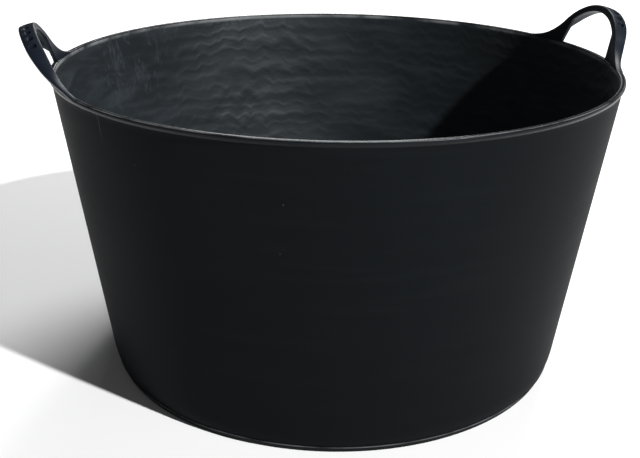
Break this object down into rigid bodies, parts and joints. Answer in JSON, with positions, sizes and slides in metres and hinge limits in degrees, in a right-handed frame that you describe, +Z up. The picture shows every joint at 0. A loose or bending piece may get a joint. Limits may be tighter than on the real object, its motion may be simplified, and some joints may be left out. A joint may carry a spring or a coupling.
{
  "type": "rubber bucket",
  "caption": "Large round flexible rubber bucket with a tapered wall, a flared rim lip and moulded strap handles.",
  "frame": {"origin": "middle of the foot ring's underside, on the surface that the bucket stands on", "axes": "+Z up along the bucket's centre line, +X towards the right handle, +Y towards the rear"},
  "size_m": [0.604, 0.558, 0.3467],
  "materials": {
    "tub_rubber": "satin black, smooth moulded skin with faint drag marks",
    "rim_rubber": "satin black with a faint blue cast, polished along the lip",
    "handle_rubber": "satin blue-black, worn matte where hands hold it"
  },
  "bodies": {
    "tub": {"side_wall": "tub_rubber", "foot_ring": "tub_rubber", "floor_panel": "tub_rubber", "rim_lip": "rim_rubber", "right_rear_root_web": "handle_rubber", "right_front_root_web": "handle_rubber", "left_rear_root_web": "handle_rubber", "left_front_root_web": "handle_rubber"},
    "right_handle": {"right_handle_loop": "handle_rubber"},
    "left_handle": {"left_handle_loop": "handle_rubber"}
  },
  "joints": [
    {"name": "right_handle_flex", "type": "hinge", "parent": "tub", "child": "right_handle", "pos_m": [0.2745, 0, 0.307], "axis": [0, -1, 0], "range_deg": [-30, 70], "stiffness_Nm_per_rad": 1.2, "deforming": ["right_rear_root_web", "right_front_root_web"]},
    {"name": "left_handle_flex", "type": "hinge", "parent": "tub", "child": "left_handle", "pos_m": [-0.2745, 0, 0.307], "axis": [0, 1, 0], "range_deg": [-30, 70], "stiffness_Nm_per_rad": 1.2, "deforming": ["left_rear_root_web", "left_front_root_web"]}
  ]
}
